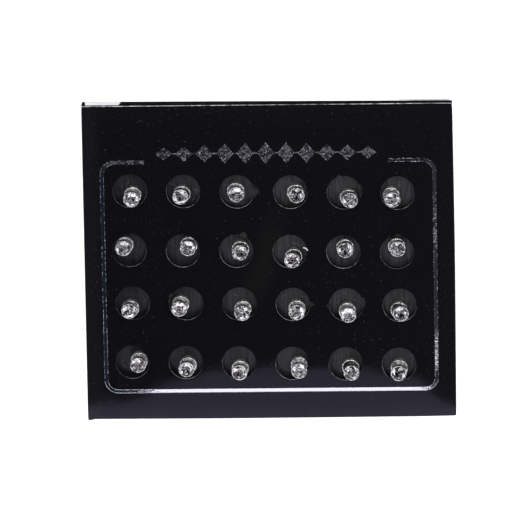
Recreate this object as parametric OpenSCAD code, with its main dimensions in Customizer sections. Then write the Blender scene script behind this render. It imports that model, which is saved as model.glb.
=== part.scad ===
// Display card with four rows of six magnetic stud earrings.
// The card lies on its back: X runs to the right, Y up the card and Z out of its face.
// The origin is the middle of the underside. Lengths are millimetres.

/* [Card] */
// Width of the card
card_w = 96; // [94:0.5:130]
// Height of the card
card_h = 85.5; // [84:0.5:120]
// Thickness of the glossy folded board
board_t = 0.5; // [0.35:0.05:0.7]
// Depth of a hole, from the face down to the backing sheet
recess = 2.35; // [2:0.05:3.5]
// Thickness of the backing sheet that the studs sit on
sheet_t = 0.15; // [0.1:0.05:0.4]
// Thickness of the board that closes the back
back_t = 0.4; // [0.3:0.05:1]
// Gap left between pieces that are laid or pushed together
fit = 0.05; // [0.03:0.01:0.1]

/* [Holes] */
// Number of studs in a row
columns = 6; // [2:1:6]
// Diameter of a punched hole
hole_d = 8.95; // [7.5:0.05:10]
// Distance between the columns
column_pitch = 13.92; // [12:0.02:14.4]
// Distance between the two rows of a pair of rows
pair_pitch = 16.2; // [13:0.05:17]
// Distance between the second and the third row
middle_pitch = 14.5; // [13:0.05:17]
// Shift of the punched field to the left of the card's middle
field_left = 1.65; // [0:0.05:2]
// Shift of the punched field below the card's middle
field_down = 4.4; // [2:0.1:6]
// Turn of the punched field against the card, clockwise, in degrees
field_turn = 1.05; // [0:0.05:1.5]
// How much wider the holes in the spacer are than those in the face
spacer_relief = 0.3; // [0.1:0.05:0.6]

/* [Foil] */
// Width of the foil line
line_w = 1.2; // [0.6:0.05:2]
// Outer radius of the foil frame's corners
frame_r = 3.9; // [3:0.1:8]
// Distance from the card's side edges to the foil frame
frame_side = 4.2; // [2:0.1:6]
// Distance from the card's lower edge to the foil frame
frame_low = 6.85; // [3:0.05:9]
// Distance from the card's upper edge to the foil frame
frame_top = 14.7; // [8:0.1:16]
// Width of the gap in the frame's upper line
frame_gap = 63.4; // [40:0.2:70]
// Shift of that gap to the left of the card's middle
gap_left = 0.5; // [0:0.1:2]
// Thickness of the foil
foil_t = 0.05; // [0.03:0.01:0.1]
// Height of the tallest lozenge in the ornament
lozenge_h = 6; // [3:0.1:8]
// Width of a lozenge
lozenge_w = 4.4; // [2:0.1:5]
// Distance between lozenges
lozenge_pitch = 5.3; // [4.6:0.1:5.8]
// How far the ornament's middle line lies above the frame's upper line
ornament_up = 2.2; // [0:0.1:4]

/* [Studs] */
// Diameter of the magnet base
base_d = 4.7; // [4:0.05:5.5]
// Height of the magnet base
base_h = 1.75; // [1.2:0.05:3]
// Radius of the magnet base's front edge
base_round = 0.45; // [0.2:0.05:0.6]
// Diameter of the cup's foot on the magnet base
foot_d = 3.4; // [2.4:0.1:3.6]
// Height of the stone's girdle above the magnet base
girdle_up = 2.75; // [2.3:0.05:4]
// Thickness of the cup's wall at the stone
cup_wall = 0.11; // [0.08:0.01:0.2]
// Height of the cup's upright rim below the girdle
cup_band = 0.35; // [0.1:0.05:0.6]
// How far the cup's lip reaches in over the stone
lip = 0.06; // [0.02:0.01:0.1]
// Diameter of the stone
stone_d = 3.8; // [3:0.05:4.2]
// Height of the crown
crown_h = 0.58; // [0.4:0.02:0.8]
// Depth of the pavilion
pavilion_h = 1.5; // [1:0.05:1.8]
// Thickness of the girdle
girdle_t = 0.1; // [0.05:0.01:0.2]
// Diameter of a back magnet
back_magnet_d = 4; // [3:0.1:5]
// Height of a back magnet
back_magnet_h = 0.8; // [0.5:0.05:2]

/* [Hidden] */
$fn = 64;

// Levels, from the underside up to the face
back_magnet_z = back_t + fit;
sheet_z = back_magnet_z + back_magnet_h + fit;
seat_z = sheet_z + sheet_t + fit;
card_d = sheet_z + sheet_t + recess;
board_z = card_d - board_t;
foil_z = card_d + fit / 2;
inner_w = card_w - 2 * (board_t + fit);
inner_h = card_h - 2 * (board_t + fit);

// The four rows, with their heights in the field
rows = [
    middle_pitch / 2 + pair_pitch,
    middle_pitch / 2,
    -middle_pitch / 2,
    -middle_pitch / 2 - pair_pitch
];

// How far each row was punched to the right, in shares of the hole
row_slip = [0, -0.01, 0.08, 0.07];

// Where each stud sits in its hole: to the right and up, in shares of the room that it has there
seats = [
    [[0.35, -0.7], [-0.2, -0.5], [-0.15, -0.05], [0.65, -0.2], [0.55, -0.8], [-0.85, -0.45]],
    [[-0.6, 0.55], [0.75, 0.6], [0.5, 0.1], [0.45, -0.85], [0.2, 0.45], [-0.05, 0.65]],
    [[-0.3, -0.85], [-0.7, -0.2], [0.4, -0.8], [0.5, -0.7], [0.1, -0.95], [-0.1, -0.8]],
    [[0.85, 0.05], [0.25, -0.5], [0.1, -0.9], [0.85, -0.4], [0.6, -0.65], [0, -0.65]]
];
seat_room = (hole_d - base_d) / 2 - fit;

// How far each cup is glued off its magnet's middle: to the right and up, in shares of the room
// that its foot has on the magnet
cup_slips = [
    [[-0.6, -0.2], [-0.6, 0.6], [0.5, 0.2], [0.6, 0.5], [0.8, 0.5], [0.9, -0.3]],
    [[-0.6, 0.3], [-0.4, 0.3], [-0.1, 0.2], [-0.7, 0.2], [0.2, 0.6], [0.6, 0.6]],
    [[-0.5, 0.7], [-0.6, -0.5], [-0.2, -0.2], [-0.1, 0], [0.6, -0.1], [1, 0.2]],
    [[-0.6, -0.4], [-0.7, -0.2], [-0.2, 0], [0, -1], [0.5, -0.8], [-0.2, -0.8]]
];
foot_room = (base_d - foot_d) / 2 - base_round / 3;
foot_sink = 0.2;

// How far each stone is turned in its cup, in degrees, repeated along the rows
stone_turns = [8, 31, 17, 40, 3, 25, 12];

// Tabs in the top wall: start from the left edge, length, foot and height, the first two in shares of
// the card's width and the others of its depth
tabs = [
    [0.007, 0.095, 0.05, 0.75],
    [0.925, 0.068, 0.05, 0.2]
];

// The stone's outline
stone_r = stone_d / 2;
table_r = 0.56 * stone_r;
star_r = 0.8 * stone_r;
lower_r = 0.45 * stone_r;
crown_facets = 8;
facet_step = 360 / crown_facets;
girdle_z = seat_z + base_h + girdle_up;

// The cup's outline
cup_r = stone_r + fit + cup_wall;
lip_t = 0.08;
// The lip clears the crown, which is steepest in the facets next to the girdle
steepest = 1.6;
lip_z = girdle_z + girdle_t + lip * steepest * crown_h / (stone_r - table_r) + fit;

function stud_name(row, column) = str(row + 1, "_", column + 1);

STUDS = [for (r = [0 : len(rows) - 1]) for (c = [0 : columns - 1]) [r, c]];

// The middle of a hole, on the card
function hole_at(row, column) =
    let (
        x = (column - (columns - 1) / 2) * column_pitch + row_slip[row] * hole_d,
        y = rows[row]
    )
    [
        x * cos(field_turn) + y * sin(field_turn) - field_left,
        y * cos(field_turn) - x * sin(field_turn) - field_down
    ];

// The middle of a stud's magnet, on the card
function magnet_at(row, column) = hole_at(row, column) + seat_room * seats[row][column];

// The middle of a stud's cup and stone, on the card
function cup_at(row, column) = magnet_at(row, column) + foot_room * cup_slips[row][column];

module at_holes() {
    for (s = STUDS) translate(hole_at(s[0], s[1])) children();
}

module plate(w, h, t) {
    translate([-w / 2, -h / 2, 0]) cube([w, h, t]);
}

// The space of one tab, in the top wall, grown by a margin to its sides and above
module tab_space(tab, margin, depth) {
    translate([
        card_w * (tab[0] - 0.5) - margin,
        card_h / 2 - board_t + (board_t - depth) / 2,
        card_d * tab[2] - margin
    ])
        cube([card_w * tab[1] + 2 * margin, depth, card_d * tab[3] + 2 * margin]);
}

// Folded board with its four walls, open behind
module card_face() {
    color([0.06, 0.06, 0.075])
        difference() {
            plate(card_w, card_h, card_d);
            translate([0, 0, -1])
                plate(card_w - 2 * board_t, card_h - 2 * board_t, board_z + 1);
            at_holes() translate([0, 0, board_z - 1]) cylinder(d = hole_d, h = board_t + 2);
            for (tab = tabs) tab_space(tab, fit, board_t + 2 * fit);
        }
}

module card_back() {
    color([0.1, 0.1, 0.11]) plate(inner_w, inner_h, back_t);
}

module side_tabs() {
    color([0.86, 0.86, 0.9])
        for (tab = tabs) tab_space(tab, 0, board_t - 2 * fit);
}

module spacer() {
    color([0.04, 0.04, 0.045])
        difference() {
            translate([0, 0, seat_z]) plate(inner_w, inner_h, board_z - fit - seat_z);
            at_holes()
                translate([0, 0, seat_z - 1]) cylinder(d = hole_d + spacer_relief, h = recess + 2);
        }
}

module backing_sheet() {
    color([0.22, 0.21, 0.23]) translate([0, 0, sheet_z]) plate(inner_w, inner_h, sheet_t);
}

// Rectangle with round corners, from its lower left corner
module round_rectangle(w, h, r) {
    translate([r, 0]) square([w - 2 * r, h]);
    translate([0, r]) square([w, h - 2 * r]);
    for (x = [r, w - r]) for (y = [r, h - r]) translate([x, y]) circle(r);
}

frame_w = card_w - 2 * frame_side;
frame_h = card_h - frame_low - frame_top;
frame_top_y = card_h / 2 - frame_top - line_w / 2;

module foil_frame() {
    color([0.72, 0.72, 0.76])
        translate([0, 0, foil_z])
            linear_extrude(foil_t)
                difference() {
                    translate([-frame_w / 2, frame_low - card_h / 2])
                        difference() {
                            round_rectangle(frame_w, frame_h, frame_r);
                            translate([line_w, line_w])
                                round_rectangle(
                                    frame_w - 2 * line_w, frame_h - 2 * line_w, frame_r - line_w
                                );
                        }
                    translate([-gap_left - frame_gap / 2, frame_top_y - line_w])
                        square([frame_gap, 2 * line_w]);
                }
}

// A row of lozenges on a thin line, lower towards its ends
module foil_ornament() {
    side = 5;
    thread = line_w / 3;
    color([0.74, 0.74, 0.77])
        translate([-gap_left, frame_top_y + ornament_up, foil_z])
            linear_extrude(foil_t) {
                for (i = [-side : side]) {
                    h = lozenge_h * (1 - 0.45 * pow(abs(i) / side, 1.5)) / 2;
                    w = lozenge_w / 2;
                    translate([i * lozenge_pitch, 0]) polygon([[-w, 0], [0, -h], [w, 0], [0, h]]);
                }
                translate([-side * lozenge_pitch, -thread / 2])
                    square([2 * side * lozenge_pitch, thread]);
            }
}

// Half outline of the magnet base, from the axis outwards
function base_outline() =
    let (
        r = base_d / 2,
        top = seat_z + base_h,
        seam = seat_z + base_h * 0.45,
        edge = base_round / 3
    )
    concat(
        [[0, seat_z], [r - edge, seat_z], [r, seat_z + edge]],
        [[r, seam - edge / 2], [r - edge / 2, seam], [r, seam + edge / 2]],
        [for (a = [0 : 15 : 90]) [r - base_round * (1 - cos(a)), top - base_round * (1 - sin(a))]],
        [[0, top]]
    );

// Half outline of the cup, whose foot sinks a little into the base
function cup_outline() =
    let (
        foot_z = seat_z + base_h - foot_sink,
        lip_r = stone_r - lip
    )
    [
        [0, foot_z],
        [foot_d / 2, foot_z],
        [cup_r, girdle_z - cup_band],
        [cup_r, lip_z + lip_t / 2],
        [cup_r - lip_t / 2, lip_z + lip_t],
        [lip_r, lip_z + lip_t],
        [lip_r, lip_z],
        [stone_r + fit, lip_z - fit / 2],
        [stone_r + fit, girdle_z - fit / 4],
        [0, girdle_z - pavilion_h - fit]
    ];

module setting(row, column) {
    color([0.78, 0.78, 0.8]) {
        translate(magnet_at(row, column)) rotate_extrude() polygon(base_outline());
        translate(cup_at(row, column)) rotate_extrude() polygon(cup_outline());
    }
}

// Height between two rings of a facet that stays flat, at a radius
function flat_at(r, inner_r, inner_z, outer_r, outer_z) =
    inner_z + (outer_z - inner_z) * (r * cos(facet_step / 2) - inner_r) / (outer_r - inner_r);

// Points of a ring, evenly spaced
function ring(n, r, z, turn) =
    [for (i = [0 : n - 1]) let (a = 360 * i / n + turn) [r * cos(a), r * sin(a), z]];

// Round stone with a table, stars, kites and a pointed pavilion
module stone(row, column) {
    n = crown_facets;
    m = 2 * n;
    half = facet_step / 2;
    table_z = girdle_t + crown_h;
    points = concat(
        ring(n, table_r, table_z, 0),
        ring(n, star_r, flat_at(star_r, table_r, table_z, stone_r, girdle_t), half),
        ring(m, stone_r, girdle_t, 0),
        ring(m, stone_r, 0, 0),
        ring(n, lower_r, flat_at(lower_r, 0, -pavilion_h, stone_r, 0), half),
        [[0, 0, -pavilion_h]]
    );
    star = n;
    upper = 2 * n;
    lower = upper + m;
    belly = lower + m;
    culet = belly + n;
    faces = concat(
        [[for (i = [n - 1 : -1 : 0]) i]],
        [for (i = [0 : n - 1]) [i, (i + 1) % n, star + i]],
        [for (i = [0 : n - 1]) [i, star + i, upper + 2 * i, star + (i + n - 1) % n]],
        [for (i = [0 : n - 1]) [star + i, upper + 2 * i + 1, upper + 2 * i]],
        [for (i = [0 : n - 1]) [star + i, upper + (2 * i + 2) % m, upper + 2 * i + 1]],
        [for (i = [0 : m - 1]) [upper + i, upper + (i + 1) % m, lower + (i + 1) % m, lower + i]],
        [for (i = [0 : n - 1]) [belly + i, lower + 2 * i, lower + 2 * i + 1]],
        [for (i = [0 : n - 1]) [belly + i, lower + 2 * i + 1, lower + (2 * i + 2) % m]],
        [for (i = [0 : n - 1]) [culet, belly + (i + n - 1) % n, lower + 2 * i, belly + i]]
    );
    turn = stone_turns[(row * columns + column) % len(stone_turns)];
    at = cup_at(row, column);
    color([0.82, 0.82, 0.88])
        translate([at[0], at[1], girdle_z]) rotate(turn) polyhedron(points, faces);
}

// Plain discs behind the sheet, one under each stud
module back_magnets() {
    color([0.6, 0.6, 0.62])
        for (s = STUDS)
            translate([0, 0, back_magnet_z])
                translate(magnet_at(s[0], s[1])) cylinder(d = back_magnet_d, h = back_magnet_h);
}

card_face();
card_back();
side_tabs();
spacer();
backing_sheet();
foil_frame();
foil_ornament();
back_magnets();
for (s = STUDS)
    setting(s[0], s[1]);
for (s = STUDS)
    stone(s[0], s[1]);
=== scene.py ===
import math
import random

import bmesh
import bpy
from mathutils import Matrix, Vector, noise
from mathutils.geometry import delaunay_2d_cdt


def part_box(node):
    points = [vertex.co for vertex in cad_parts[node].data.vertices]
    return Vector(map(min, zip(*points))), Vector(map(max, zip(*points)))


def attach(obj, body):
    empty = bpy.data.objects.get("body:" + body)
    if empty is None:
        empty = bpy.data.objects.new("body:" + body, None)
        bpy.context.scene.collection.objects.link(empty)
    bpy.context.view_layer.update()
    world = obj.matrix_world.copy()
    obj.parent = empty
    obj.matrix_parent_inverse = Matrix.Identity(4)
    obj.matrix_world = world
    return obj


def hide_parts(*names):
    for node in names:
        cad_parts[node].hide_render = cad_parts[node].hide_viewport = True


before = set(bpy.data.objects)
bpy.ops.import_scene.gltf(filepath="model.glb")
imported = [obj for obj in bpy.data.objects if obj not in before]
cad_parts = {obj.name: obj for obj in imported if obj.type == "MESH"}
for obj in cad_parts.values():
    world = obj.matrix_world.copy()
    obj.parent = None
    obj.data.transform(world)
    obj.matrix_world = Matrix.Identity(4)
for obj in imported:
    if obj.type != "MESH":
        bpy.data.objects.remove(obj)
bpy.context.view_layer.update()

mm = 0.001
rows, columns = 4, 6
studNames = [f"{row}_{column}" for row in range(1, rows + 1) for column in range(1, columns + 1)]


# helpers for node materials; the tree is that of the material being made

def setSockets(tree, node, values):
    # what another node gives is linked; a colour or a number is set on the socket itself
    for name, value in values.items():
        socket = node.inputs[name]
        if isinstance(value, bpy.types.NodeSocket):
            tree.links.new(value, socket)
        elif isinstance(value, tuple) and len(socket.default_value) == 4:
            socket.default_value = (*value, 1)
        else:
            socket.default_value = value


def newMaterial(name, sockets):
    # sockets fills the tree it is given and says what goes into the shader
    material = bpy.data.materials.new(name)
    material.use_nodes = True
    tree = material.node_tree
    setSockets(tree, tree.nodes["Principled BSDF"], sockets(tree))
    return material


def addNode(tree, kind, sockets, **settings):
    node = tree.nodes.new("ShaderNode" + kind)
    for key, value in settings.items():
        setattr(node, key, value)
    setSockets(tree, node, sockets)
    return node


def asColour(value):
    # a single number is a grey
    return (value, value, value) if isinstance(value, (int, float)) else value


def placeNode(tree, scale=(1, 1, 1)):
    # object coordinates in metres, stretched; every piece is kept at the origin
    coords = addNode(tree, "TexCoord", {})
    mapping = addNode(tree, "Mapping", {"Scale": scale, "Vector": coords.outputs["Object"]})
    return mapping.outputs["Vector"]


def splitNode(tree, vector, count=2):
    # its X and Y, or all three
    return list(addNode(tree, "SeparateXYZ", {"Vector": vector}).outputs)[:count]


def noiseNode(tree, vector, scale, detail=4.0, roughness=0.55):
    sockets = {"Vector": vector, "Scale": scale, "Detail": detail, "Roughness": roughness}
    return addNode(tree, "TexNoise", sockets).outputs["Fac"]


def cellsNode(tree, vector, scale, **settings):
    return addNode(tree, "TexVoronoi", {"Vector": vector, "Scale": scale}, **settings)


def drawNode(tree, cells):
    # the cell's own random numbers
    return addNode(tree, "SeparateColor", {"Color": cells.outputs["Color"]}).outputs


def rampNode(tree, value, stops):
    # stops are (place, colour) pairs
    node = addNode(tree, "ValToRGB", {"Fac": value})
    ramp = node.color_ramp
    while len(ramp.elements) < len(stops):
        ramp.elements.new(0.5)
    for element, (place, colour) in zip(ramp.elements, stops):
        element.position = place
        element.color = (*asColour(colour), 1)
    return node.outputs["Color"]


def grainRamp(tree, vector, grain, stops):
    return rampNode(tree, noiseNode(tree, vector, *grain), stops)


def mixColour(tree, factor, first, second, blend="MIX"):
    sockets = {0: factor, 6: asColour(first), 7: asColour(second)}
    return addNode(tree, "Mix", sockets, data_type="RGBA", blend_type=blend).outputs[2]


def mathNode(tree, operation, first, second=0.0):
    return addNode(tree, "Math", {0: first, 1: second}, operation=operation).outputs[0]


def rangeNode(tree, value, start, end, low=0.0):
    # low at the start, 1 at the end
    sockets = {"Value": value, "From Min": start, "From Max": end, "To Min": low}
    return addNode(tree, "MapRange", sockets).outputs["Result"]


def bumpNode(tree, height, strength, distance):
    sockets = {"Height": height, "Strength": strength, "Distance": distance}
    return addNode(tree, "Bump", sockets).outputs["Normal"]


# helpers for meshes; lengths are millimetres until a mesh is made

def around(x, y, reach, turn, tall=1.0):
    # the point at this distance and angle from x, y
    return x + reach * math.cos(turn), y + reach * tall * math.sin(turn)


def addRing(bm, points):
    return [bm.verts.new((x * mm, y * mm, z * mm)) for x, y, z in points]


def bridge(bm, first, second, slot=0, smooth=True, closed=True):
    # quads between two rings of as many points
    count = len(first) if closed else len(first) - 1
    for i in range(count):
        j = (i + 1) % len(first)
        face = bm.faces.new((first[i], first[j], second[j], second[i]))
        face.material_index = slot
        face.smooth = smooth


def addObject(name, data):
    thing = bpy.data.objects.new(name, data)
    bpy.context.scene.collection.objects.link(thing)
    return thing


def makePiece(name, bm, materials, replaced=()):
    mesh = bpy.data.meshes.new(name)
    bmesh.ops.recalc_face_normals(bm, faces=bm.faces)
    bm.to_mesh(mesh)
    bm.free()
    for material in materials:
        mesh.materials.append(material)
    piece = addObject(name, mesh)
    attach(piece, "root")
    if replaced:
        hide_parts(*replaced)


def tube(bm, points, radius, sides=5):
    # a round thread along a few points, closed at its ends
    rings = []
    for i, point in enumerate(points):
        here = Vector(point)
        ahead = Vector(points[min(i + 1, len(points) - 1)]) - Vector(points[max(i - 1, 0)])
        across = ahead.cross(Vector((0, 0, 1)))
        across = across.normalized() if across.length > 1e-9 else Vector((1, 0, 0))
        up = across.cross(ahead).normalized()
        turns = [2 * math.pi * k / sides for k in range(sides)]
        rings.append(addRing(bm, [here + radius * (math.cos(a) * across + math.sin(a) * up) for a in turns]))
    for first, second in zip(rings, rings[1:]):
        bridge(bm, first, second)
    bm.faces.new(rings[0])
    bm.faces.new(rings[-1][::-1])


def boxOf(node):
    low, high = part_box(node)
    return low / mm, high / mm


def holeCircles():
    # middle and radius of each punched hole, from the points where it meets the card's face
    margin, near, level = 1, 2, 0.001  # from the card's edge, between points of a hole, from the face
    low, high = boxOf("card_face")
    points = set()
    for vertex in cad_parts["card_face"].data.vertices:
        x, y, z = vertex.co / mm
        across = low.x + margin < x < high.x - margin
        if across and low.y + margin < y < high.y - margin and abs(z - high.z) < level:
            points.add((round(x, 3), round(y, 3)))
    groups = []
    for x, y in sorted(points):
        merged = [(x, y)]
        for group in [g for g in groups if any(math.hypot(x - px, y - py) < near for px, py in g)]:
            merged += group
            groups.remove(group)
        groups.append(merged)
    circles = []
    for group in groups:
        xs, ys = [p[0] for p in group], [p[1] for p in group]
        middle = ((min(xs) + max(xs)) / 2, (min(ys) + max(ys)) / 2)
        circles.append((*middle, (max(xs) - min(xs)) / 2))
    circles.sort(key=lambda c: -c[1])
    ordered = []
    for row in range(rows):
        ordered += sorted(circles[row * columns:(row + 1) * columns])
    return dict(zip(studNames, ordered))


# plain finishes: a grain is its scale, detail and roughness, a bump its strength and depth;
# the other names are the shader's sockets, where a list is a ramp that the grain goes through
glassIndex = 1.58
finishes = {
    # the board's walls
    "wall": {
        "grain": (900, 4, 0.6),
        "stretch": (0.3, 1, 1),
        "Base Color": [(0.35, (0.0020, 0.0020, 0.0025)), (0.75, (0.012, 0.012, 0.013))],
        "Roughness": 0.7,
        "Specular IOR Level": 0.0,
    },
    # thin clear film, a little milky
    "film": {
        "grain": (900, 4, 0.6),
        "Base Color": [(0.4, (0.008, 0.008, 0.009)), (0.7, 0.028)],
        "Roughness": [(0.3, 0.25), (0.7, 0.5)],
        "Alpha": 0.4,
        "Specular IOR Level": 0.25,
    },
    "dust": {
        "grain": (300, 3, 0.6),
        "Base Color": [(0.3, (0.10, 0.105, 0.12)), (0.7, (0.38, 0.39, 0.42))],
        "Roughness": 0.9,
    },
    "whiteBoard": {
        "grain": (700, 6, 0.65),
        "Base Color": [(0.3, (0.42, 0.41, 0.44)), (0.7, (0.58, 0.57, 0.60))],
        "Roughness": 0.85,
        "bump": (0.4, 0.00008),
    },
    "plainBoard": {
        "grain": (500, 6, 0.65),
        "Base Color": [(0.3, (0.020, 0.020, 0.022)), (0.75, (0.045, 0.044, 0.047))],
        "Roughness": 0.7,
        "bump": (0.4, 0.0001),
    },
    # the polished lip of the cup, pressed over the stone
    "cupLip": {
        "grain": (2000, 3, 0.6),
        "Base Color": [(0.42, (0.11, 0.11, 0.115)), (0.57, (0.70, 0.69, 0.72))],
        "Metallic": 0.45,
        "Roughness": [(0.3, 0.10), (0.75, 0.25)],
    },
    # satin plating of the magnet under the cup
    "magnet": {
        "grain": (1500, 4, 0.6),
        "Base Color": [(0.38, 0.14), (0.62, 0.50)],
        "Metallic": 0.86,
        "Roughness": [(0.3, 0.22), (0.75, 0.36)],
        "bump": (0.3, 0.00008),
    },
    # the discs behind the card
    "nickel": {
        "grain": (1200, 4, 0.6),
        "Base Color": [(0.3, 0.50), (0.7, (0.64, 0.63, 0.62))],
        "Metallic": 1.0,
        "Roughness": 0.3,
    },
    # clear glass of the stones
    "crystal": {
        "grain": (900, 3),
        "Base Color": [(0.3, (0.93, 0.93, 0.96)), (0.7, 1.0)],
        "Transmission Weight": 1.0,
        "IOR": glassIndex,
        "Roughness": [(0.4, 0.0), (0.8, 0.03)],
    },
    # painted glint and painted dark facet: a facet painted white for the light it would throw back, and one
    # painted dark for none
    "paintedGlint": {
        "grain": (2600, 2),
        "Base Color": [(0.40, (0.34, 0.33, 0.36)), (0.55, (0.93, 0.91, 0.96))],
        "Transmission Weight": 0.3,
        "IOR": glassIndex,
        "Roughness": 0.05,
    },
    "paintedDarkFacet": {
        "grain": (2600, 2),
        "Base Color": [(0.40, 0.008), (0.55, (0.045, 0.042, 0.046))],
        "Transmission Weight": 0.2,
        "IOR": glassIndex,
        "Roughness": 0.05,
    },
    "floorPaper": {
        "grain": (400, 3),
        "Base Color": [(0.3, 0.90), (0.7, 0.918)],
        "Roughness": 0.9,
        "Specular IOR Level": 0.1,
        "Emission Color": (1, 1, 1),
        "Emission Strength": 0.30,
    },
}


def finish(name):
    values = dict(finishes[name])
    look = {key: values.pop(key) for key in ("grain", "stretch", "bump") if key in values}

    def sockets(tree):
        grain = noiseNode(tree, placeNode(tree, look.get("stretch", (1, 1, 1))), *look["grain"])
        for socket, value in values.items():
            if isinstance(value, list):
                values[socket] = rampNode(tree, grain, value)
        if "bump" in look:
            values["Normal"] = bumpNode(tree, grain, *look["bump"])
        return values

    return newMaterial(name, sockets)


# glossy black laminate with fine dust, scuffs and a slight ripple
boardLook = {
    "colour": (0.0027, 0.0025, 0.0033),
    "sheen": (0.745, 0.735, 1.0),  # colour of its reflection
    "haze": (0.0045, 0.0042, 0.0053),  # greyer toward the edges, most at the left
    "hazeLeft": (-0.0425, -0.0460),  # where it starts and ends
    "hazeRight": (0.043, 0.049),
    "hazeTop": (0.036, 0.044),
    "hazeShares": (0.45, 0.40),  # at the right and at the top
    "dust": (0.055, 0.053, 0.062),
    # cells per metre, size of the speck in its cell, share of cells that have one
    "dustLayers": [(420, 0.045, 0.35), (900, 0.06, 0.22)],
    # a faint brownish smear across the middle of the card
    "smear": (0.0066, 0.0062, 0.0046),
    "smearAt": (-0.0015, 0.000, 0.0038),
    "smearTurn": -15,
    "smearSize": (0.0048, 0.020, 0.01),
    "gloss": 0.335,
    "ripple": (0.02, 0.002),
    # grains: scale, detail, roughness; with the ramp they go through
    "patch": ((60, 3), [(0.42, 0.25), (0.62, 1)]),
    "scuffs": ((220, 5), [(0.3, 0.032), (0.8, 0.062)]),
    "smearGrain": (260, 4, 0.6),
    "rippleGrain": (45, 2),
}


def dustNode(tree, place, scale, size, share):
    # one small round speck in some of the cells
    cells = cellsNode(tree, place, scale, voronoi_dimensions="2D")
    draw = drawNode(tree, cells)
    dot = mathNode(tree, "LESS_THAN", cells.outputs["Distance"], size)
    seen = mathNode(tree, "MULTIPLY", dot, mathNode(tree, "LESS_THAN", draw["Red"], share))
    return mathNode(tree, "MULTIPLY", seen, draw["Green"])


def glossBoardNodes(tree):
    look = boardLook
    place = placeNode(tree)
    dusty = 0.0
    for scale, size, share in look["dustLayers"]:
        dusty = mathNode(tree, "MAXIMUM", dustNode(tree, place, scale, size, share), dusty)
    dusty = mixColour(tree, 1.0, dusty, grainRamp(tree, place, *look["patch"]), "MULTIPLY")

    streak = addNode(tree, "Mapping", {
        "Vector": place,
        "Location": look["smearAt"],
        "Rotation": (0, 0, math.radians(look["smearTurn"])),
        "Scale": look["smearSize"],
    }, vector_type="TEXTURE")
    within = {"Vector": streak.outputs["Vector"]}
    fade = addNode(tree, "TexGradient", within, gradient_type="SPHERICAL")
    smear = mathNode(tree, "MULTIPLY", fade.outputs["Fac"], noiseNode(tree, place, *look["smearGrain"]))
    ground = mixColour(tree, smear, look["colour"], look["smear"])

    x, y = splitNode(tree, place)
    hazy = rangeNode(tree, x, *look["hazeLeft"])
    for along, ends, share in zip((x, y), (look["hazeRight"], look["hazeTop"]), look["hazeShares"]):
        side = mathNode(tree, "MULTIPLY", rangeNode(tree, along, *ends), share)
        hazy = mathNode(tree, "MAXIMUM", side, hazy)
    ground = mixColour(tree, hazy, ground, look["haze"])
    return {
        "Base Color": mixColour(tree, dusty, ground, look["dust"]),
        "Roughness": grainRamp(tree, place, *look["scuffs"]),
        "Normal": bumpNode(tree, noiseNode(tree, place, *look["rippleGrain"]), *look["ripple"]),
        "Specular IOR Level": look["gloss"],
        "Specular Tint": look["sheen"],
    }


# the cut edge of the board shows its pale paper core; along the folds the laminate is cracked, and on the
# upper fold its pale specks are also a painted highlight
coreLook = {
    "tones": [(0.20, (0.02, 0.02, 0.022)), (0.36, (0.17, 0.165, 0.17))],
    "fibre": (900, 4, 0.6),
    "patch": (160, 2),
    "bump": (0.5, 0.0001),
}
creaseLook = {
    "wearAndHighlight": (0.45, 0.44, 0.47),
    "cracks": ((1100, 4, 0.65), [(0.40, 0.08), (0.56, 1.0)]),
    "stretches": ((55, 2), [(0.32, 0.15), (0.52, 1.0)]),
    "upperFrom": 0.0415,
}


def paperCoreNodes(tree):
    place = placeNode(tree)
    fibre = noiseNode(tree, place, *coreLook["fibre"])
    mixed = mathNode(tree, "MULTIPLY", fibre, noiseNode(tree, place, *coreLook["patch"]))
    return {
        "Base Color": rampNode(tree, mixed, coreLook["tones"]),
        "Roughness": 0.8,
        "Normal": bumpNode(tree, fibre, *coreLook["bump"]),
    }


def creaseNodes(tree):
    # worn pale specks along the upper fold, which also serve as its painted highlight, more in some
    # stretches than in others
    worn = grainRamp(tree, placeNode(tree, (0.5, 1, 1)), *creaseLook["cracks"])
    often = grainRamp(tree, placeNode(tree, (1, 0.1, 0.1)), *creaseLook["stretches"])
    upper = mathNode(tree, "GREATER_THAN", splitNode(tree, placeNode(tree))[1], creaseLook["upperFrom"])
    seen = mixColour(tree, upper, 0.0, mixColour(tree, 1.0, worn, often, "MULTIPLY"))
    return {
        "Base Color": mixColour(tree, seen, boardLook["colour"], creaseLook["wearAndHighlight"]),
        "Roughness": 0.35,
        "Specular IOR Level": 0.35,
    }


foamLook = {"cells": 3500, "tones": [(0.1, 0.004), (0.8, 0.016)], "bump": (0.6, 0.0001)}


def blackFoamNodes(tree):
    cells = cellsNode(tree, placeNode(tree), foamLook["cells"]).outputs["Distance"]
    return {
        "Base Color": rampNode(tree, cells, foamLook["tones"]),
        "Roughness": 0.75,
        "Specular IOR Level": 0.05,
        "Normal": bumpNode(tree, cells, *foamLook["bump"]),
    }


# dark film on the floor of the holes, with fine upright streaks; its tone is painted light, lighter to the
# right and toward the upper holes
sheetLook = {
    # painted light: darker at the left and toward the lowest holes
    "left": (0.0104, 0.0102, 0.0148),
    "right": (0.0290, 0.0275, 0.0310),
    "across": (-0.034, -0.004),  # where the left tone ends and the right one begins
    "low": 0.62,  # tone at the lowest holes against the uppermost ones
    "upward": (-0.03, 0.01),
    "streaks": (3800, 3, 0.7),
    "shades": [(0.40, 0.34), (0.60, 1.0)],
    "roughness": [(0.3, 0.30), (0.7, 0.42)],
    "bump": (0.25, 0.00006),
}


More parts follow.
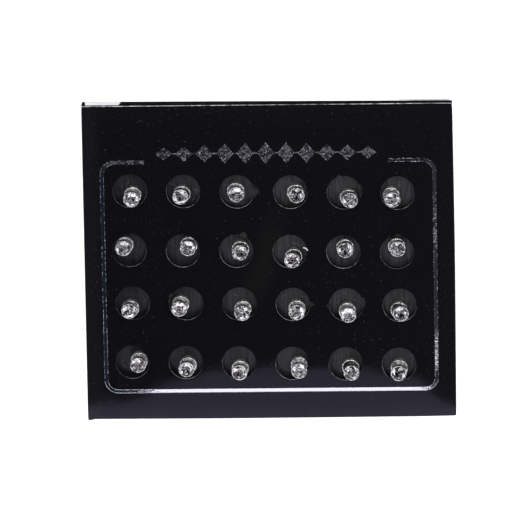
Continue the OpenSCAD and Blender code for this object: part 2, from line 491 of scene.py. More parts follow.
def darkSheetNodes(tree):
    look = sheetLook
    streak = noiseNode(tree, placeNode(tree, (1, 0.05, 1)), *look["streaks"])
    x, y = splitNode(tree, placeNode(tree))
    # painted light across and up the card
    tone = mixColour(tree, rangeNode(tree, x, *look["across"]), look["left"], look["right"])
    tone = mixColour(tree, 1.0, tone, rangeNode(tree, y, *look["upward"], look["low"]), "MULTIPLY")
    shade = rampNode(tree, streak, look["shades"])
    return {
        "Base Color": mixColour(tree, 1.0, tone, shade, "MULTIPLY"),
        "Specular IOR Level": 0.25,
        "Roughness": rampNode(tree, streak, look["roughness"]),
        "Normal": bumpNode(tree, streak, *look["bump"]),
    }


# stamped silver foil: nearly flat and mirror-like round the studs, rough and mottled above them; its tone
# across the card is a painted reflection
foilLook = {
    # painted reflection: the flat foil is painted lighter at the left than at the right
    "left": (0.80, 0.83, 0.90),
    "right": (0.47, 0.50, 0.60),
    "across": (-0.04, 0.04),
    "low": (1.0, 1.0, 1.0),  # painted highlight: the lower line is painted brightest
    "lowFrom": (-0.0330, -0.0345),
    "lowLeft": (-0.0430, -0.0385),  # and fades out at its left corner
    "mottled": ((1400, 4, 0.65), [(0.42, (0.16, 0.16, 0.19)), (0.56, 1.0)]),
    "grain": (1100, 3, 0.6),
    "roughFrom": (0.0245, 0.0275),  # height on the card where the rough part begins
    # rough stretches of the right-hand line, by height on the card, -0.05 to 0.05 as 0 to 1
    "sideSpan": (-0.05, 0.05),
    "sideRough": [(0.19, 0.0), (0.215, 0.8), (0.28, 0.75), (0.33, 0.0),
                  (0.50, 0.0), (0.54, 0.9), (0.655, 0.9), (0.69, 0.0)],
    "sideFrom": 0.036,
    "upperRight": 0.30,  # tone of the short piece at the upper right
    "upperRightFrom": (0.031, 0.033),
    "depth": 0.00012,
    # flat part, rough part
    "bump": (0.03, 0.60),
    "roughness": (0.022, 0.18),
    # the rims: painted dark, with painted glints in specks, painted brighter on the lower line
    "rimDark": (0.02, 0.024, 0.032),
    "rimLight": (0.42, 0.43, 0.49),
    "rimLow": (0.60, 0.60, 0.66),
    "rimGlints": ((1500, 2, 0.5), [(0.48, 0.0), (0.62, 1.0)]),
}


def silverFoilNodes(tree):
    look = foilLook
    place = placeNode(tree)
    x, y = splitNode(tree, place)
    upper = rangeNode(tree, y, *look["roughFrom"])
    stretch = rampNode(tree, rangeNode(tree, y, *look["sideSpan"]), look["sideRough"])
    onSide = mathNode(tree, "GREATER_THAN", x, look["sideFrom"])
    rough = mathNode(tree, "MAXIMUM", upper, mathNode(tree, "MULTIPLY", stretch, onSide))
    mottled = grainRamp(tree, place, *look["mottled"])
    farRight = mathNode(tree, "MULTIPLY", rangeNode(tree, x, *look["upperRightFrom"]), upper)
    mottled = mixColour(tree, farRight, mottled, look["upperRight"], "MULTIPLY")
    # painted reflection across the card, and a painted highlight on the lower line
    plain = mixColour(tree, rangeNode(tree, x, *look["across"]), look["left"], look["right"])
    low = rangeNode(tree, y, *look["lowFrom"])
    low = mathNode(tree, "MULTIPLY", low, rangeNode(tree, x, *look["lowLeft"]))
    plain = mixColour(tree, low, plain, look["low"])
    grain = noiseNode(tree, place, *look["grain"])
    return {
        "Base Color": mixColour(tree, rough, plain, mottled),
        "Metallic": 1.0,
        "Roughness": mixColour(tree, rough, *look["roughness"]),
        "Normal": bumpNode(tree, grain, mixColour(tree, rough, *look["bump"]), look["depth"]),
    }


def foilBeadNodes(tree):
    # the pressed-up rims of the foil: painted glints, bright specks along a line painted dark, painted
    # brighter on the lower line
    look = foilLook
    place = placeNode(tree)
    low = rangeNode(tree, splitNode(tree, place)[1], *look["lowFrom"])
    dark = mixColour(tree, low, look["rimDark"], look["rimLow"])
    glintMask = grainRamp(tree, place, *look["rimGlints"])
    return {
        "Base Color": mixColour(tree, glintMask, dark, look["rimLight"]),
        "Metallic": 1.0,
        "Roughness": 0.25,
    }


def giveMaterials(nodeName, *materials):
    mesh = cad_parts[nodeName].data
    mesh.materials.clear()
    for material in materials:
        mesh.materials.append(material)
    return mesh


# each setting is a cup on a magnet
settingLook = {
    "brim": 0.32,  # height of the bright part of the cup, down from its lip
    "shadedFrom": -0.45,  # painted shade: the lip's rounded edge is painted dark where it faces further up the card
    "foot": 0.90,  # height of the bright part of the cup, up from the magnet
    "aboveSpacer": 0.05,  # the magnet's box ends just above the spacer
    # magnets whose flat top is bright too, without the painted shade
    "unshadedTops": ["1_6", "3_1", "3_2", "3_3", "3_4", "4_1", "4_2", "4_3", "4_4", "4_6"],
    # how far up a face has to look to be of the lip, of its flat top, of the magnet's top
    "lipUp": 0.3,
    "flatUp": 0.9,
    "topUp": 0.97,
    # painted shade: its dark tone, paler on some studs
    "shade": ((1500, 3, 0.6), [(0.4, (0.012, 0.012, 0.013)), (0.75, (0.07, 0.068, 0.07))]),
    "paler": ((55, 1), [(0.50, 0.0), (0.62, 0.22)]),
}


def cupShadeNodes(tree):
    # painted shade: the cup's tapered wall, dull and painted dark below its bright lip, like the flat tops
    # of most magnets
    place = placeNode(tree)
    tone = grainRamp(tree, place, *settingLook["shade"])
    paler = grainRamp(tree, place, *settingLook["paler"])
    return {
        "Base Color": mixColour(tree, 1.0, tone, paler, "ADD"),
        "Metallic": 1.0,
        "Roughness": 0.35,
    }


def dressSettings(*materials):
    lip, shade, magnet = range(3)
    look = settingLook
    step = boxOf("spacer")[1].z + look["aboveSpacer"]
    for name in studNames:
        brim = boxOf("setting_" + name)[1].z - look["brim"]
        for face in giveMaterials("setting_" + name, *materials).polygons:
            height, up = face.center.z / mm, face.normal.z
            if height > brim and up > look["lipUp"]:
                # painted shade on the lip's rounded edge, all but its lower side
                dark = up < look["flatUp"] and face.normal.y > look["shadedFrom"]
                face.material_index = shade if dark else lip
            elif height > step:
                # painted shade on the cup's wall above its bright foot
                face.material_index = shade if height > step + look["foot"] else magnet
            else:
                # painted shade on the magnet's flat top, but for the unshaded tops
                dark = up > look["topUp"] and name not in look["unshadedTops"]
                face.material_index = shade if dark else magnet


# the stones' silvery backing is a little cloudy and broken into shards; its dark and white shards are partly
# painted sparkle
stoneLook = {
    "cells": 3200,
    # share of the shards, colour of the backing there
    "foil": [(0.0, (0.04, 0.04, 0.045)), (0.13, (0.08, 0.075, 0.08)), (0.22, (0.54, 0.51, 0.56)),
             (0.56, (0.80, 0.78, 0.84)), (0.64, 1.0)],
    "metal": 0.72,
    "foilRoughness": 0.07,
    "tints": ((45, 1), [(0.35, (1.0, 0.95, 0.92)), (0.62, (0.92, 0.93, 1.0))]),
    # facets of the crown by how far they face up: share painted as a white glint, share painted dark
    "facets": [(0.95, 0.0, 0.0), (0.87, 0.14, 0.24), (0.78, 0.24, 0.40), (0.5, 0.42, 0.46)],
    # below, and in the wedge at the far side, facets are painted glints and painted dark
    "backs": (0.48, 0.15),  # share of the facets below that are white, and dark
    "belowFrom": -0.1,  # they face at least this far down
    "wedge": 0.42,  # chance of a white wedge at the far side
    "wedgeTurn": (65, 115),  # where it lies, in degrees
    "wedgeWidth": 28,
    "wedgeUp": (0.78, 0.95),
    "seed": 31,
}


def stoneFoilNodes(tree):
    look = stoneLook
    place = placeNode(tree)
    shards = rampNode(tree, drawNode(tree, cellsNode(tree, place, look["cells"]))["Red"], look["foil"])
    tint = grainRamp(tree, place, *look["tints"])
    return {
        "Base Color": mixColour(tree, 1.0, shards, tint, "MULTIPLY"),
        "Metallic": look["metal"],
        "Roughness": look["foilRoughness"],
    }


def crownShares(up):
    for least, white, dark in stoneLook["facets"]:
        if up >= least:
            return white, dark
    return 0.0, 0.0


def dressStones(*materials):
    # clear crown with facets painted as white glints and painted dark, over the backing
    clear, backing, paintedGlintSlot, paintedDarkSlot = range(4)
    look = stoneLook
    draw = random.Random(look["seed"])
    for name in studNames:
        wedge = draw.random() < look["wedge"]
        side = draw.uniform(*look["wedgeTurn"])
        chosen = {}
        for face in giveMaterials("stone_" + name, *materials).polygons:
            up = face.normal.z
            key = tuple(round(v, 2) for v in face.normal)  # the triangles of one facet share it
            if key not in chosen:
                below = up < look["belowFrom"]
                white, dark = look["backs"] if below else crownShares(up)
                pick = draw.random()
                plain = backing if below else clear
                chosen[key] = paintedGlintSlot if pick < white else paintedDarkSlot if pick < white + dark else plain
                turn = math.degrees(math.atan2(face.normal.y, face.normal.x))
                least, most = look["wedgeUp"]
                if wedge and least <= up < most and abs(turn - side) < look["wedgeWidth"]:
                    chosen[key] = paintedGlintSlot
            face.material_index = chosen[key]


gloss = newMaterial("glossBoard", glossBoardNodes)
core = newMaterial("paperCore", paperCoreNodes)
giveMaterials("card_back", finish("plainBoard"))
giveMaterials("spacer", newMaterial("blackFoam", blackFoamNodes))
giveMaterials("backing_sheet", newMaterial("darkSheet", darkSheetNodes))
foil = newMaterial("silverFoil", silverFoilNodes)
foilBead = newMaterial("foilBead", foilBeadNodes)
whitePaper = finish("whiteBoard")
giveMaterials("back_magnets", finish("nickel"))
dressSettings(finish("cupLip"), newMaterial("cupShade", cupShadeNodes), finish("magnet"))
stoneFoil = newMaterial("stoneFoil", stoneFoilNodes)
dressStones(finish("crystal"), stoneFoil, finish("paintedGlint"), finish("paintedDarkFacet"))
print("materials are on")

holes = holeCircles()
faceLow, faceHigh = boxOf("card_face")
faceTop = faceHigh.z


# folded board: soft creases, punched holes with a pale cut edge, walls open behind
boardPiece = {
    "corner": 0.30,  # radius of the upright corners
    "cornerSteps": 5,
    "crease": 0.12,  # radius of the folded edges
    "creaseSteps": 6,
    "sideSteps": 8,
    "thickness": 0.5,
    "footLean": (0.10, -0.46),  # how far the top wall's foot leans out, at its left and right end
    "tipDrop": 0.38,  # the lower left corner is pulled down
    "tipLength": 1.7,
    # the sides bulge a little: place along the side, how far out
    "bulge": {
        "left": [(-43, 0.28), (-10, 0.24), (20, 0.18), (40, 0.14)],
        "right": [(-43, 0.12), (-20, 0.22), (0, 0.28), (20, 0.18), (40, 0.0)],
        "low": [(-45, 0.19), (-16, 0.32), (11, 0.30), (37, 0.24), (48, 0.12)],
    },
    "sideAt": 45,  # the sides' bulge fades out from here to the middle of the card
    "bulgePower": 4,
    "edgeBand": 3,  # points this near the upper or lower edge belong to it
    "tipRoom": 1,  # no other point of the lower side is this near the pulled corner
    "leastRadius": 0.05,  # of the inner outlines' corners
    "holePoints": 72,
    # the punch went in at a slant, so the holes are a little taller than wide
    "oval": 1.024,
    # rings of a hole's cut edge: how far outside the hole and above the face, share of the lean
    "rim": [(-0.02, 0.0, 0), (-0.055, -0.06, 0.35), (-0.055, -0.49, 1)],
    "lean": (0.09, 0.26),  # how far the hole's lower end is off, to the right and up
    "leanFirst": (-0.01, 0.12),  # the same in the first column
}


def bulge(side, at):
    table = boardPiece["bulge"][side]
    at = min(max(at, table[0][0]), table[-1][0])
    for (start, first), (end, second) in zip(table, table[1:]):
        if at <= end:
            return first + (second - first) * (at - start) / (end - start)


def cardOutline(inset):
    # the card's outline, counter-clockwise from its lower left corner
    look = boardPiece
    radius = max(look["corner"], inset + look["leastRadius"])
    reach = radius - inset
    left, right = faceLow.x + radius, faceHigh.x - radius
    low, high = faceLow.y + radius, faceHigh.y - radius
    corners = [(left, low, 180), (right, low, 270), (right, high, 0), (left, high, 90)]
    points = []
    for index, (x, y, start) in enumerate(corners):
        for step in range(look["cornerSteps"] + 1):
            a = math.radians(start + 90 * step / look["cornerSteps"])
            drop = look["tipDrop"] * (step / look["cornerSteps"]) if index == 0 else 0
            spotX, spotY = around(x, y, reach, a)
            points.append((spotX, spotY - drop))
        if index == 0:
            points.append((left + look["tipLength"], faceLow.y + inset))
        # points along the side up to the next corner
        nextX, nextY = corners[(index + 1) % 4][:2]
        turn = math.radians(start + 90)
        for step in range(1, look["sideSteps"] + 1):
            share = step / (look["sideSteps"] + 1)
            sideX, sideY = around(x + (nextX - x) * share, y + (nextY - y) * share, reach, turn)
            if index or sideX > left + look["tipLength"] + look["tipRoom"]:
                points.append((sideX, sideY))
    bent = []
    for x, y in points:
        out = bulge("right", y) if x > 0 else -bulge("left", y)
        sink = bulge("low", x) if y < faceLow.y + look["edgeBand"] else 0
        bent.append((x + out * min(1, abs(x) / look["sideAt"]) ** look["bulgePower"], y - sink))
    return bent


def sheetWithHoles(bm, loops, slot, beyond, oval):
    # the first loop is the sheet's outline; the holes are this far beyond their own radius
    verts = [vert for loop in loops for vert in loop]
    edges, start = [], 0
    for loop in loops:
        edges += [(start + i, start + (i + 1) % len(loop)) for i in range(len(loop))]
        start += len(loop)
    flat = [Vector((vert.co.x / mm, vert.co.y / mm)) for vert in verts]
    found = delaunay_2d_cdt(flat, edges, [], 1, 1e-5)
    triangles, origins = found[2], found[3]
    for triangle in triangles:
        corners = [origins[i][0] for i in triangle]
        middle = sum((flat[i] for i in corners), Vector((0, 0))) / 3
        inHole = any(math.hypot(middle.x - x, (middle.y - y) / oval) < radius + beyond
                     for x, y, radius in holes.values())
        if not inHole:
            face = bm.faces.new([verts[i] for i in corners])
            face.material_index = slot
            face.smooth = False


def buildBoard():
    face, fold, wall, paper = range(4)  # material slots
    look = boardPiece
    bm = bmesh.new()
    thick, crease = look["thickness"], look["crease"]
    inner = faceTop - thick

    def outlineRing(inset, z, lean=False):
        points = []
        for x, y in cardOutline(inset):
            along = (x - faceLow.x) / (faceHigh.x - faceLow.x)
            out = look["footLean"][0] * (1 - along) + look["footLean"][1] * along
            points.append((x, y + (out if lean and y > faceHigh.y - look["edgeBand"] else 0), z))
        return addRing(bm, points)

    rings = []
    for step in range(look["creaseSteps"] + 1):
        a = math.radians(90 * step / look["creaseSteps"])
        rings.append(outlineRing(crease * (1 - math.sin(a)), faceTop - crease * (1 - math.cos(a))))
    for first, second in zip(rings, rings[1:]):
        bridge(bm, first, second, fold)
    foot = outlineRing(0, faceLow.z, True)
    bridge(bm, rings[-1], foot, wall, False)
    footInside = outlineRing(thick, faceLow.z)
    bridge(bm, foot, footInside, paper, False)
    roof = outlineRing(thick, inner)
    bridge(bm, footInside, roof, paper, False)

    topLoops, roofLoops = [rings[0]], [roof]
    turns = [2 * math.pi * k / look["holePoints"] for k in range(look["holePoints"])]
    for name, (x, y, radius) in holes.items():
        lean = look["leanFirst" if name.endswith("_1") else "lean"]
        rim = []
        for out, up, share in look["rim"]:
            middle = x + share * lean[0], y + share * lean[1]
            rim.append(addRing(bm, [(*around(*middle, radius + out, a, look["oval"]), faceTop + up)
                                    for a in turns]))
        back = addRing(bm, [(*around(x, y, radius, a), inner) for a in turns])
        bridge(bm, rim[0], rim[1], paper)
        # below the pale band the cut wall has the dark wall finish, painted shade of the gap under the board
        bridge(bm, rim[1], rim[2], wall)
        bridge(bm, rim[2], back, wall)
        topLoops.append(rim[0])
        roofLoops.append(back)
    sheetWithHoles(bm, topLoops, face, look["rim"][0][0], look["oval"])
    sheetWithHoles(bm, roofLoops, paper, 0.0, 1.0)
    materials = [gloss, newMaterial("crease", creaseNodes), finish("wall"), core]
    makePiece("foldedBoard", bm, materials, ["card_face"])


# stamped foil: a flat ribbon with a raised bead along each edge
foilPiece = {
    "line": 1.0,
    "inset": 0.12,  # how far inside the CAD line's outer edge
    "corner": 3.8,  # outer radius of the frame's corners
    "cornerSteps": 14,
    "gap": 63.4,  # opening in the upper line
    "gapLeft": 0.5,  # how far its middle is to the left
    "step": 1.0,
    # share of the half width, height above the card
    "section": [(1.0, 0.004), (0.97, 0.036), (0.86, 0.050), (0.78, 0.038), (0.0, 0.038)],
    "bead": (1, 2),  # steps of the section that belong to the bead
    "lozenges": 5,  # on each side of the middle one
    "lozengePitch": 5.3,
    "lozengeWidth": 4.4,
    "lozengeHeight": 6.0,
    "lozengeSteps": 6,  # along each of its edges
    "fade": 0.45,  # how much lower the last ones are
    "fadePower": 1.5,
    "thread": 0.4,  # width of the thread between them, in widths of the line
    "threadOverlap": 0.2,
}


def ribbon(bm, path, width):
    # path is a list of points in the card's plane
    section = foilPiece["section"]
    full = [(-share, up) for share, up in section] + [(share, up) for share, up in section[-2::-1]]
    rails = [[] for point in full]
    for i, point in enumerate(path):
        before, after = Vector(path[max(i - 1, 0)]), Vector(path[min(i + 1, len(path) - 1)])
        ahead = (after - before).normalized()
        side = Vector((-ahead.y, ahead.x))
        for rail, (share, up) in zip(rails, full):
            spot = Vector(point) + side * share * width / 2
            rail.append((spot.x, spot.y, faceTop + up))
    rings = [addRing(bm, rail) for rail in rails]
    last = len(rings) - 2
    for index, (first, second) in enumerate(zip(rings, rings[1:])):
        onBead = min(index, last - index) in foilPiece["bead"]
        bridge(bm, first, second, 1 if onBead else 0, False, False)
    for end in (0, -1):
        bm.faces.new([ring[end] for ring in rings])


def straight(start, end):
    start, end = Vector(start), Vector(end)
    count = max(1, round((end - start).length / foilPiece["step"]))
    return [tuple(start.lerp(end, i / count)) for i in range(count + 1)]


def buildFoilLine():
    look = foilPiece
    low, high = boxOf("foil_frame")
    half = look["line"] / 2 + look["inset"]
    left, right, bottom, top = low.x + half, high.x - half, low.y + half, high.y - half
    radius = look["corner"] - half
    corners = [(left + radius, top - radius, 90), (left + radius, bottom + radius, 180),
               (right - radius, bottom + radius, 270), (right - radius, top - radius, 0)]
    path, here = [], (-look["gapLeft"] - look["gap"] / 2, top)
    steps = look["cornerSteps"]
    for x, y, start in corners:
        arc = [around(x, y, radius, math.radians(start + 90 * i / steps)) for i in range(steps + 1)]
        path += straight(here, arc[0]) + arc[1:-1]
        here = arc[-1]
    path += straight(here, (-look["gapLeft"] + look["gap"] / 2, top))
    bm = bmesh.new()
    ribbon(bm, path, look["line"])
    makePiece("foilLine", bm, [foil, foilBead], ["foil_frame"])


def buildLozenges():
    look = foilPiece
    low, high = boxOf("foil_ornament")
    middleX, middleY = (low.x + high.x) / 2, (low.y + high.y) / 2
    halfWidth = look["lozengeWidth"] / 2
    reach = halfWidth - look["threadOverlap"]
    steps = look["lozengeSteps"]
    bm = bmesh.new()
    for i in range(-look["lozenges"], look["lozenges"] + 1):
        x = middleX + i * look["lozengePitch"]
        fade = 1 - look["fade"] * (abs(i) / look["lozenges"]) ** look["fadePower"]
        halfHeight = look["lozengeHeight"] * fade / 2
        inner = halfWidth * halfHeight / math.hypot(halfWidth, halfHeight)  # radius of the circle inside
        corners = [(-halfWidth, 0), (0, -halfHeight), (halfWidth, 0), (0, halfHeight)]
        outline = []
        for (ax, ay), (bx, by) in zip(corners, corners[1:] + corners[:1]):
            outline += [(ax + (bx - ax) * k / steps, ay + (by - ay) * k / steps) for k in range(steps)]
        rings = []
        for share, up in look["section"][:-1]:
            scale = 1 - (1 - share) * look["line"] / 2 / inner
            points = [(x + px * scale, middleY + py * scale, faceTop + up) for px, py in outline]
            rings.append(addRing(bm, points))
        for index, (first, second) in enumerate(zip(rings, rings[1:])):
            bridge(bm, first, second, 1 if index in look["bead"] else 0, False)
        centre = bm.verts.new((x * mm, middleY * mm, (faceTop + look["section"][-1][1]) * mm))
        for a, b in zip(rings[-1], rings[-1][1:] + rings[-1][:1]):
            bm.faces.new((a, b, centre))
        if i < look["lozenges"]:
            path = straight((x + reach, middleY), (x + look["lozengePitch"] - reach, middleY))
            ribbon(bm, path, look["line"] * look["thread"])
    makePiece("foilLozenges", bm, [foil, foilBead], ["foil_ornament"])


# paper tabs folded over the top wall
tabPiece = {
    "slant": 0.28,  # the left tab's inner end leans
    "wedge": 7.0,  # the right tab's inner end runs out in a long thin point
    "trim": 0.25,  # the left tab stops short of the corner
    "across": 20,
    "sides": (0.03, 0.12),  # its two faces, out from the wall
    # how far, how many to a millimetre, which part of the noise
    "wave": (0.03, 0.4, 3),
    "fray": (0.05, 1.7, 9),
}


def buildTabs():
    look = tabPiece
    waveSize, waveScale, wavePart = look["wave"]
    fraySize, frayScale, frayPart = look["fray"]
    groups = {-1: [], 1: []}
    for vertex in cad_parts["side_tabs"].data.vertices:
        groups[1 if vertex.co.x > 0 else -1].append(vertex.co / mm)
    bm = bmesh.new()
    for side, points in groups.items():
        left, right = min(p.x for p in points), max(p.x for p in points)
        foot, head = min(p.z for p in points), max(p.z for p in points)
        rails = []
        for share in (0.0, 0.5, 1.0):
            up = foot + (head - foot) * share
            start = left + look["trim"] * share if side < 0 else left - look["wedge"] * (1 - share)
            end = right + look["slant"] * (1 - 2 * share) if side < 0 else right
            for out in look["sides"]:
                line = []
                for i in range(look["across"] + 1):
                    x = start + (end - start) * i / look["across"]
                    wave = waveSize * noise.noise(Vector((x * waveScale, up, wavePart)))
                    fray = fraySize * noise.noise(Vector((x * frayScale, 0, frayPart))) if share else 0
                    line.append((x, faceHigh.y + out + wave, up + fray))
                rails.append(addRing(bm, line))
        order = [rails[0], rails[2], rails[4], rails[5], rails[3], rails[1]]
        for first, second in zip(order, order[1:] + order[:1]):
            bridge(bm, first, second, 0, False, False)
        for end in (0, -1):
            bm.faces.new([rail[end] for rail in order])
    makePiece("paperTabs", bm, [whitePaper], ["side_tabs"])


# scraps of clear film that stick out from under the holes' edges
scrapPiece = {
    # hole: list of outlines, each point a radius in shares of the hole's and an angle in degrees
    "outlines": {
        "1_3": [[(0.98, 30), (1.12, 22), (1.30, 4), (1.22, -4), (1.10, -20), (0.98, -30)]],
        "2_3": [[(0.98, 52), (1.14, 56), (1.27, 68), (1.18, 74), (0.98, 82)]],
        "3_4": [[(0.98, 10), (1.14, 6), (1.28, 0), (1.10, -8), (0.98, -12)]],
        "1_5": [[(0.98, 98), (1.13, 102), (1.10, 109), (0.98, 116)],
                [(0.98, 36), (1.07, 28), (1.13, 12), (1.09, -4), (0.98, -18)]],
        "3_2": [[(0.98, 142), (1.14, 148), (1.12, 154), (0.98, 160)]],
        "3_5": [[(0.98, 170), (1.12, 177), (1.09, 186), (0.98, 192)],
                [(0.98, 30), (1.09, 24), (1.14, 8), (1.10, -6), (0.98, -16)]],
        "2_6": [[(0.98, 72), (1.12, 78), (1.13, 88), (0.98, 98)]],
    },
    # a curl of film, painted white as a painted highlight
    "highlightCurl": ("2_4", [(0.82, 18.5), (0.95, 13.5), (1.05, 5), (1.04, 1), (0.93, 9), (0.80, 15)]),
    "thickness": 0.03,
    "rise": 0.012,  # height above the face
    "lift": 0.30,  # how steeply they bend up outside the hole
}


def buildScraps():
    look = scrapPiece
    curlHole, highlightCurl = look["highlightCurl"]
    bm = bmesh.new()
    for name, outlines in [*look["outlines"].items(), (curlHole, [highlightCurl])]:
        x, y, radius = holes[name]
        for outline in outlines:
            # the curl has the white paper finish, a painted highlight
            slot = 1 if outline is highlightCurl else 0
            levels = []
            for rise in (look["rise"], look["rise"] + look["thickness"]):
                ring = []
                for share, angle in outline:
                    up = faceTop + rise + look["lift"] * max(0, share - 1)
                    ring.append((*around(x, y, radius * share, math.radians(angle)), up))
                levels.append(addRing(bm, ring))
            bridge(bm, levels[0], levels[1], slot, False)
            bm.faces.new(levels[0][::-1]).material_index = slot
            bm.faces.new(levels[1]).material_index = slot
    bmesh.ops.triangulate(bm, faces=bm.faces)
    makePiece("filmScraps", bm, [finish("film"), whitePaper])


# lint and scratches on the floor of the holes, a few listed and some scattered
lintPiece = {
    # hole: places in shares of the hole's radius, to the right and up
    "byHand": {
        "1_1": [[(-0.12, 0.60), (-0.10, 0.42), (-0.18, 0.22), (-0.22, 0.02)]],
        "1_2": [[(-0.98, 0.32), (-0.70, 0.30), (-0.42, 0.22)], [(0.50, -0.02), (0.72, -0.08), (0.93, -0.18)],
                [(0.50, -0.72), (0.62, -0.60), (0.78, -0.66), (0.70, -0.76)]],
        "1_3": [[(-0.80, -0.52), (-0.60, -0.66), (-0.30, -0.78), (0.10, -0.86), (0.42, -0.84)]],
        "2_4": [[(0.10, 0.34), (0.42, 0.30), (0.70, 0.12)]],
        "4_1": [[(-0.70, -0.20), (-0.55, -0.42), (-0.40, -0.50)]],
    },
    "scattered": 2,  # for each hole
    "from": (0.2, 0.8),  # where they start, in shares of the hole's radius
    "length": (0.08, 0.3),
    "steps": 3,
    "bend": (-0.4, 0.4),
    "inside": 0.95,  # every point of a scattered one lies within this
    "radius": 0.022,
    "thickness": (0.6, 1.1),  # shares of that radius
    "seed": 11,
}


def buildLint():
    look = lintPiece
    floorTop = boxOf("backing_sheet")[1].z
    bm = bmesh.new()
    draw = random.Random(look["seed"])
    for name, (x, y, radius) in holes.items():
        lines = list(look["byHand"].get(name, []))
        for extra in range(look["scattered"]):
            a, reach = draw.uniform(0, 2 * math.pi), draw.uniform(*look["from"])
            turn, length = draw.uniform(0, 2 * math.pi), draw.uniform(*look["length"])
            bend = draw.uniform(*look["bend"])
            line = [around(0, 0, reach, a)]
            for k in range(look["steps"]):
                line.append(around(*line[-1], length / look["steps"], turn + bend * k))
            if all(math.hypot(*p) < look["inside"] for p in line):
                lines.append(line)
        for line in lines:
            thick = look["radius"] * draw.uniform(*look["thickness"])
            tube(bm, [(x + px * radius, y + py * radius, floorTop + thick) for px, py in line], thick)
    makePiece("lint", bm, [finish("dust")])


# dust grains on the face, thicker towards the left and upper edges
dustPiece = {
    "grains": 1500,
    "sizes": (0.012, 0.032),
    "margin": 1,  # from the card's edges
    "clear": 0.3,  # from the holes
    "least": 0.12,  # share of the grains that stay anywhere
    "more": 0.9,  # and of those near the edges
    # left, upper and right edge: how far from the middle, power, share
    "edges": [(48, 2, 1), (43, 3, 1), (48, 6, 0.6)],
    "cloud": (0.09, 5),  # how many to a millimetre, which part of the noise
    "sizePower": 3,  # most grains are small
    "stretch": ((0.7, 1.5), (0.7, 1.2)),
    "height": 0.6,
    "sunk": 0.4,
    "seed": 23,
}


def buildDust():
    look = dustPiece
    small, large = look["sizes"]
    cloudScale, cloudPart = look["cloud"]
    margin = look["margin"]
    draw = random.Random(look["seed"])
    bm = bmesh.new()
    made = 0
    while made < look["grains"]:
        x = draw.uniform(faceLow.x + margin, faceHigh.x - margin)
        y = draw.uniform(faceLow.y + margin, faceHigh.y - margin)
        if any(math.hypot(x - hx, y - hy) < radius + look["clear"] for hx, hy, radius in holes.values()):
            continue
        edge = 0.0
        for toward, (far, power, share) in zip((-x, y, x), look["edges"]):
            edge += share * max(0.0, toward / far) ** power
        cloud = 0.5 + noise.noise(Vector((x * cloudScale, y * cloudScale, cloudPart)))
        if draw.random() > look["least"] + look["more"] * edge * cloud:
            continue
        size = small + (large - small) * draw.random() ** look["sizePower"]
        spot = Matrix.Translation(Vector((x, y, faceTop + size * look["sunk"])) * mm)
        wide = [draw.uniform(*ends) for ends in look["stretch"]]
        stretch = Matrix.Diagonal((*wide, look["height"], 1))
        turn = Matrix.Rotation(draw.uniform(0, math.pi), 4, "Z")
        bmesh.ops.create_icosphere(bm, subdivisions=1, radius=size * mm, matrix=spot @ turn @ stretch)
        made += 1
    makePiece("dustGrains", bm, [finish("dust")])


buildBoard()
print("board is folded")
buildFoilLine()
buildLozenges()
print("foil is stamped")
buildTabs()
buildScraps()
buildLint()
buildDust()
print("tabs, scraps, lint and dust are laid")


# pale floor
floorPiece = {"size": 6.0, "drop": 0.00005}


def addSheet(name, points, material):
    # one flat face, its points in metres
    mesh = bpy.data.meshes.new(name)
    mesh.from_pydata(points, [], [tuple(range(len(points)))])
    mesh.materials.append(material)
    return addObject(name, mesh)


def buildFloor():
    half = floorPiece["size"] / 2
    corners = [(-half, -half, 0), (half, -half, 0), (half, half, 0), (-half, half, 0)]
    floor = addSheet("floor", corners, finish("floorPaper"))
    floor.location.z = -floorPiece["drop"]


# soft boxes round the table in a pale room
lightSettings = {
    # height above the horizon as a share, colour of the room there
    "room": [(0.0, (1.0, 1.0, 1.02)), (0.22, (0.75, 0.75, 0.78)),
             (0.42, (0.20, 0.20, 0.215)), (1.0, (0.10, 0.10, 0.11))],
    # place, size and watts
    "overhead": ((0.0, -0.2, 1.6), 1.2, 14),
    "distance": 1.5,
    "size": 0.5,
    # degrees round from the right, degrees up, watts
    "boxes": [
        (8, 33, 5.5), (50, 46, 7.0), (90, 58, 6.0), (133, 44, 5.0),
        (176, 30, 4.5), (219, 40, 4.5), (268, 28, 5.5), (318, 36, 5.0),
    ],
}


def addLamp(name, place, size, power):
    data = bpy.data.lights.new(name, "AREA")
    data.shape = "SQUARE"
    data.size = size
    data.energy = power
    lamp = addObject(name, data)
    lamp.location = place
    lamp.rotation_euler = (-place).to_track_quat("-Z", "Y").to_euler()
    lamp.visible_camera = False
    return lamp


def buildLights():
    look = lightSettings
    world = bpy.data.worlds.new("room")
    bpy.context.scene.world = world
    world.use_nodes = True
    tree = world.node_tree
    coords = addNode(tree, "TexCoord", {})
    z = splitNode(tree, coords.outputs["Generated"], 3)[2]
    setSockets(tree, tree.nodes["Background"], {"Color": rampNode(tree, z, look["room"])})
    # the overhead light fills the holes and stays out of the reflections
    place, size, power = look["overhead"]
    lamp = addLamp("overhead", Vector(place), size, power)
    lamp.visible_glossy = False
    lamp.visible_transmission = False
    for index, (azimuth, elevation, power) in enumerate(look["boxes"]):
        a, b = math.radians(azimuth), math.radians(elevation)
        way = Vector((math.cos(a) * math.cos(b), math.sin(a) * math.cos(b), math.sin(b)))
        addLamp(f"softBox{index + 1}", way * look["distance"], look["size"], power)


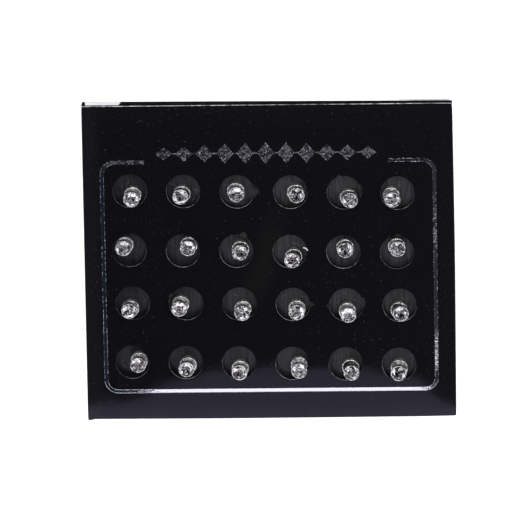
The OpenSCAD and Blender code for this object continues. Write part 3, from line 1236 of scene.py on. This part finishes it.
# a dark flag over the card and a pale panel beside it, both seen only as reflections;
# the line between them is the edge that the gloss shows near the card's lower side
panelSettings = {
    "height": 300,  # above the floor
    # the line as it shows on the card, from left to right
    "edge": [
        (-150, -56.0), (-47.3, -39.1), (-40.4, -38.0), (-34.1, -36.9), (-30.1, -34.2), (-27.4, -33.1),
        (-20.0, -31.5), (-14.5, -29.8), (-4.0, -29.3), (11.2, -29.7), (24.7, -30.6), (36.4, -32.3),
        (39.4, -33.8), (42.5, -37.1), (47.9, -40.5), (150, -80.0),
    ],
    "top": 180,
    "bottom": -320,
    # the flag's tone changes along X, the panel's along Y; the span is where it does, on the card
    "flag": {
        "axis": 0,
        "span": (-45, 45),
        "colours": [(0.0, (0.0085, 0.0125, 0.0220)), (1.0, (0.050, 0.049, 0.056))],
        "strength": 1.0,
    },
    "panel": {
        "axis": 1,
        "span": (-29, -45),
        "colours": [(0.0, (0.43, 0.42, 0.465)), (0.6, (0.47, 0.46, 0.51)),
                    (0.85, (0.62, 0.61, 0.68)), (1.0, (0.92, 0.90, 0.98))],
        "strength": 2.0,
    },
}


def mirrored(point, eye):
    # where the line of sight that meets the card at this point goes on to, at the panels' height
    rise = (panelSettings["height"] - faceTop) / (eye.z - faceTop)
    return point[0] + (point[0] - eye.x) * rise, point[1] + (point[1] - eye.y) * rise


def glowPanel(name, outline, eye, look):
    height = panelSettings["height"]
    corners = [(x * mm, y * mm, height * mm) for x, y in (mirrored(point, eye) for point in outline)]
    material = bpy.data.materials.new(name)
    material.use_nodes = True
    tree = material.node_tree
    tree.nodes.clear()
    start, end = (mirrored((at, at), eye)[look["axis"]] * mm for at in look["span"])
    along = rangeNode(tree, splitNode(tree, placeNode(tree))[look["axis"]], start, end)
    light = {"Color": rampNode(tree, along, look["colours"]), "Strength": look["strength"]}
    glow = addNode(tree, "Emission", light)
    addNode(tree, "OutputMaterial", {"Surface": glow.outputs[0]})
    panel = addSheet(name, corners, material)
    panel.visible_camera = False
    panel.visible_shadow = False
    panel.visible_diffuse = False


def buildPanels(eye):
    look = panelSettings
    line = look["edge"]
    left, right = line[0][0], line[-1][0]
    glowPanel("darkFlag", line + [(right, look["top"]), (left, look["top"])], eye, look["flag"])
    below = [(left, look["bottom"]), (right, look["bottom"])]
    glowPanel("palePanel", line[::-1] + below, eye, look["panel"])


# camera: a long lens above the card's upper edge
cameraSettings = {
    "tilt": 18.0,  # degrees from straight above, towards the card's upper edge
    "side": 1.59,  # degrees to the right
    "roll": 1.07,  # degrees
    "distance": 2.6,  # metres
    "lens": 701.3,
    "aim": (-0.003617, 0.000339, 0.0),
}


def buildCamera():
    look = cameraSettings
    x = math.sin(math.radians(look["side"]))
    y = math.sin(math.radians(look["tilt"]))
    way = Vector((x, y, math.sqrt(1 - x * x - y * y)))
    right = Vector((0, 1, 0)).cross(way).normalized()
    up = way.cross(right)
    turn = Matrix.Rotation(-math.radians(look["roll"]), 3, way)
    right, up = turn @ right, turn @ up
    data = bpy.data.cameras.new("camera")
    data.lens = look["lens"]
    data.sensor_width = 36.0
    data.clip_end = 20.0
    camera = addObject("camera", data)
    spin = Matrix((right, up, way)).transposed().to_4x4()
    camera.matrix_world = Matrix.Translation(Vector(look["aim"]) + way * look["distance"]) @ spin
    bpy.context.scene.camera = camera
    return camera.matrix_world.translation / mm


def setRender():
    scene = bpy.context.scene
    scene.view_settings.view_transform = "Standard"
    scene.view_settings.look = "None"
    scene.cycles.max_bounces = 16
    scene.cycles.glossy_bounces = 8
    scene.cycles.transmission_bounces = 12
    scene.cycles.use_denoising = True


buildFloor()
buildLights()
buildPanels(buildCamera())
setRender()
print("floor, lights, panels and camera are set")
